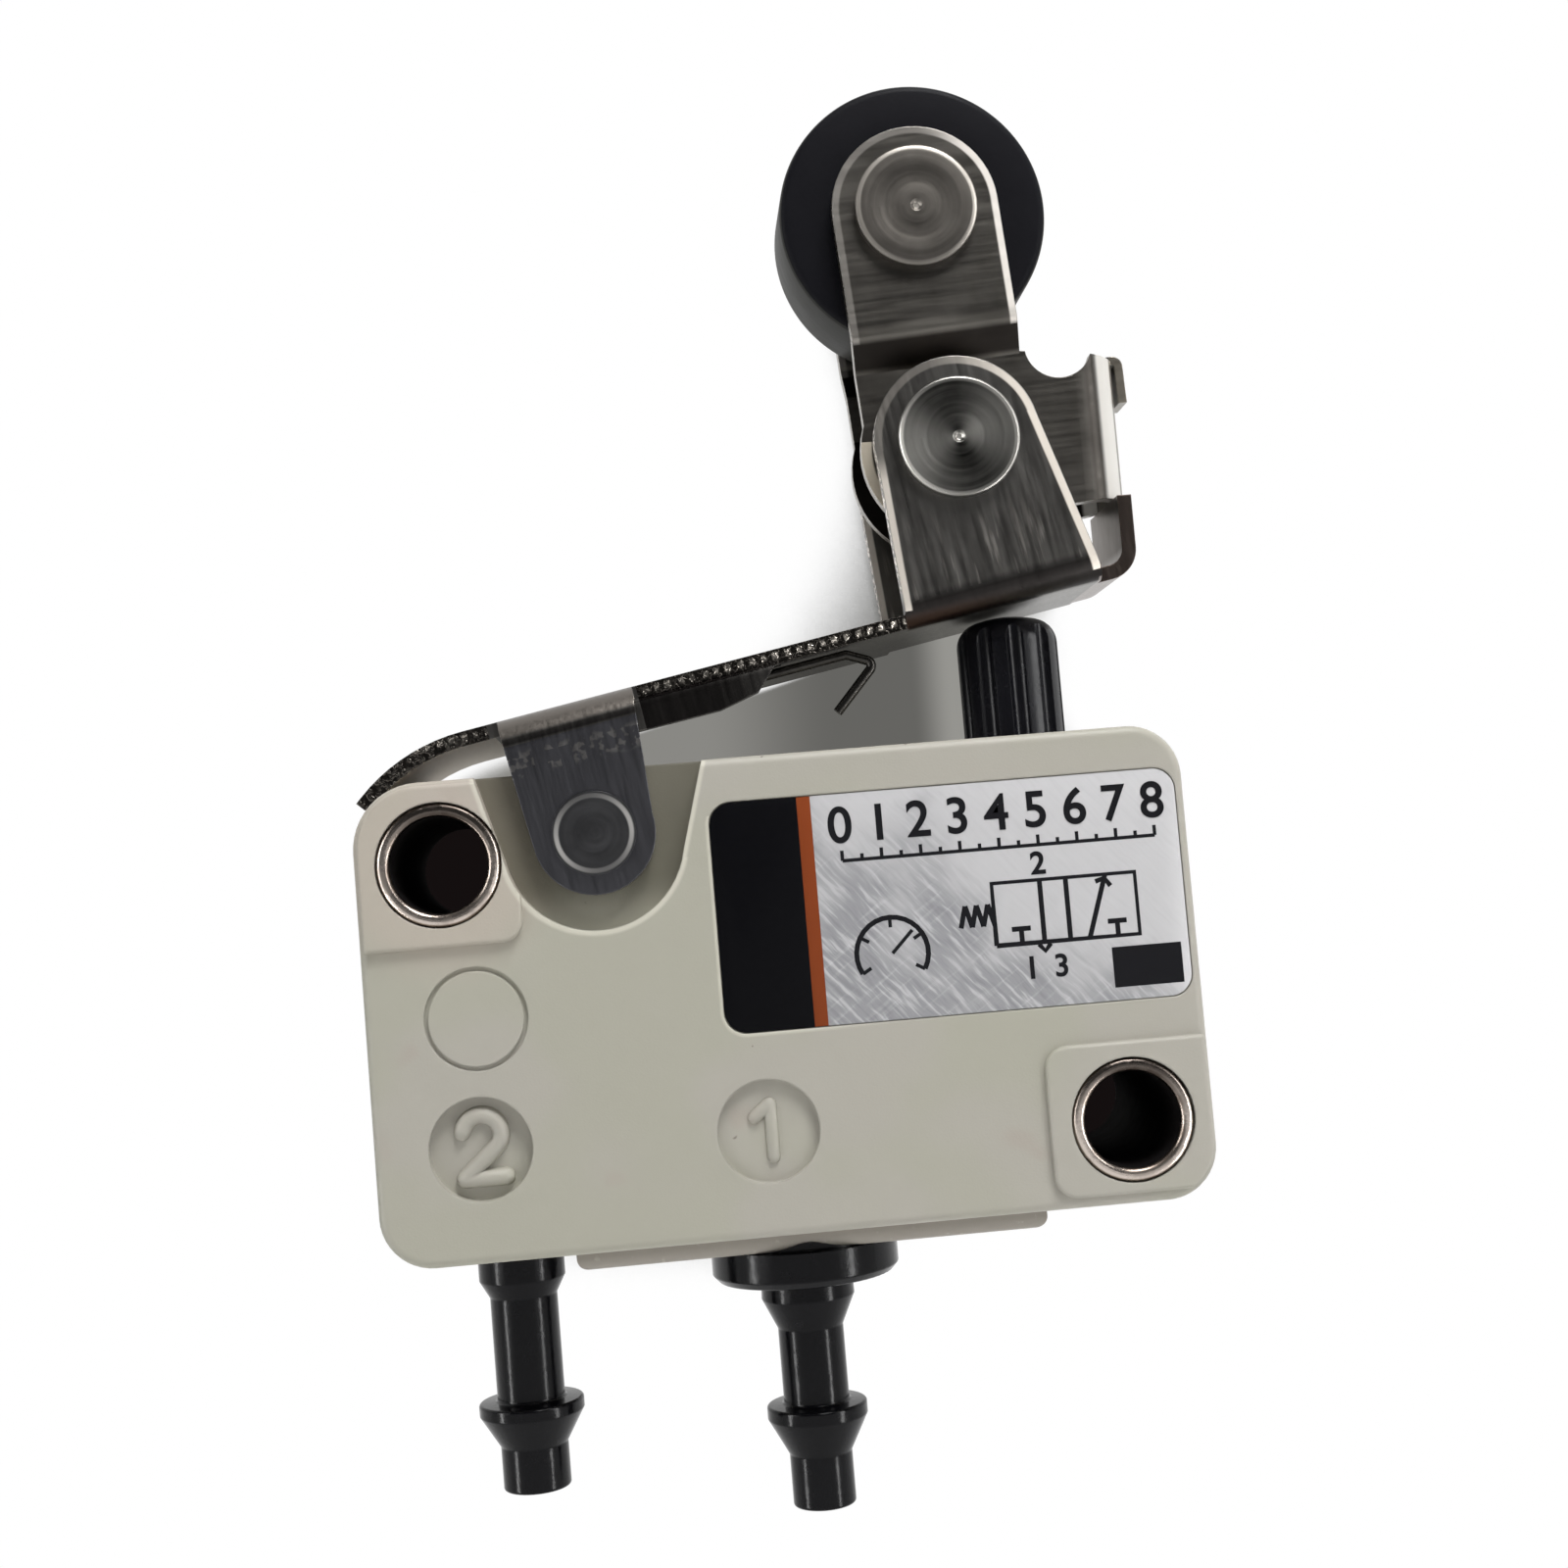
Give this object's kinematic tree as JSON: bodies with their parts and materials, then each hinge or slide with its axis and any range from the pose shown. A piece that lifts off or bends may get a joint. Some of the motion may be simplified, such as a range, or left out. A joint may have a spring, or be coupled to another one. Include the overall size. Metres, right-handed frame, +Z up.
{
  "type": "mechanical micro valve",
  "caption": "Small poppet valve with hose barbs below a flat plastic body, worked by a hinged sheet-metal lever that carries a one-way folding roller arm.",
  "frame": {"origin": "centre of the upper mounting hole at the rear mounting face", "axes": "+X along the body towards the plunger end, +Y from the front face to the rear mounting face along the mounting holes, +Z up from the ports to the roller"},
  "size_m": [0.0281, 0.0103, 0.0497],
  "materials": {
    "shell": "ivory-grey moulded PBT, fine matte",
    "inner_moulding": "moulded plastic, matte",
    "rivet": "nickel-plated brass, drawn",
    "label": "brushed silver film with a black block and an orange stripe",
    "fitting": "black nylon, glossy",
    "plunger": "black acetal",
    "stainless": "rolled stainless sheet with sheared edges",
    "pin_steel": "turned stainless",
    "spring_steel": "spring wire",
    "roller": "black acetal roller",
    "brass": "machined",
    "rubber": "nitrile rubber, matte",
    "rocker": "stamped stainless"
  },
  "bodies": {
    "housing": {"housing_front": "shell", "housing_rear": "shell", "upper_rivet": "rivet", "lower_rivet": "rivet", "label": "label", "valve_body": "inner_moulding", "valve_sleeve": "brass", "sleeve_rings": "rubber", "stem_seal": "rubber", "poppet_spring": "spring_steel", "port1_fitting": "fitting", "port1_ring": "rubber", "port2_fitting": "fitting", "port2_ring": "rubber", "rocker_pin": "pin_steel", "rocker_spring": "spring_steel", "plunger_guide": "plunger"},
    "lever": {"lever": "stainless", "lever_pin": "pin_steel", "lever_spring": "spring_steel", "arm_pin": "pin_steel", "arm_spacers": "brass"},
    "arm": {"roller_arm": "stainless", "roller_pin": "pin_steel", "arm_spring": "spring_steel"},
    "roller": {"roller": "roller", "roller_bush": "brass"},
    "plunger": {"plunger": "plunger"},
    "rocker": {"rocker": "rocker"},
    "stem": {"valve_stem": "brass"},
    "poppet": {"poppet": "brass", "poppet_seal": "rubber"}
  },
  "joints": [
    {"name": "lever_hinge", "type": "hinge", "parent": "housing", "child": "lever", "pos_m": [0.00515, -0.00515, 0.00065], "axis": [0, 1, 0], "range_deg": [0, 6], "stiffness_Nm_per_rad": 0.05, "springref_deg": -17.19},
    {"name": "arm_pivot", "type": "hinge", "parent": "lever", "child": "arm", "pos_m": [0.01863, -0.00515, 0.01325], "axis": [0, -1, 0], "range_deg": [0, 75], "stiffness_Nm_per_rad": 0.002, "springref_deg": -28.65},
    {"name": "roller_spin", "type": "hinge", "parent": "arm", "child": "roller", "pos_m": [0.01802, -0.00515, 0.02175], "axis": [0, 1, 0], "continuous": true},
    {"name": "plunger_slide", "type": "slide", "parent": "housing", "child": "plunger", "axis": [0, 0, -1], "range_m": [0, 0.0018], "deforming": ["rocker_spring"]},
    {"name": "rocker_hinge", "type": "hinge", "parent": "housing", "child": "rocker", "pos_m": [0.0046, -0.00515, -0.0022], "axis": [0, 1, 0], "range_deg": [0, 6.5]},
    {"name": "stem_slide", "type": "slide", "parent": "housing", "child": "stem", "axis": [0, 0, -1], "range_m": [0, 0.0008]},
    {"name": "poppet_slide", "type": "slide", "parent": "housing", "child": "poppet", "axis": [0, 0, -1], "range_m": [0, 0.0005], "deforming": ["poppet_spring"]}
  ],
  "couplings": [
    {"joint": "plunger_slide", "follows": "lever_hinge", "m_per_rad": 0.015415},
    {"joint": "rocker_hinge", "follows": "lever_hinge", "ratio": 0.98794},
    {"joint": "stem_slide", "follows": "lever_hinge", "m_per_rad": 0.006638},
    {"joint": "poppet_slide", "follows": "lever_hinge", "m_per_rad": 0.0042}
  ]
}
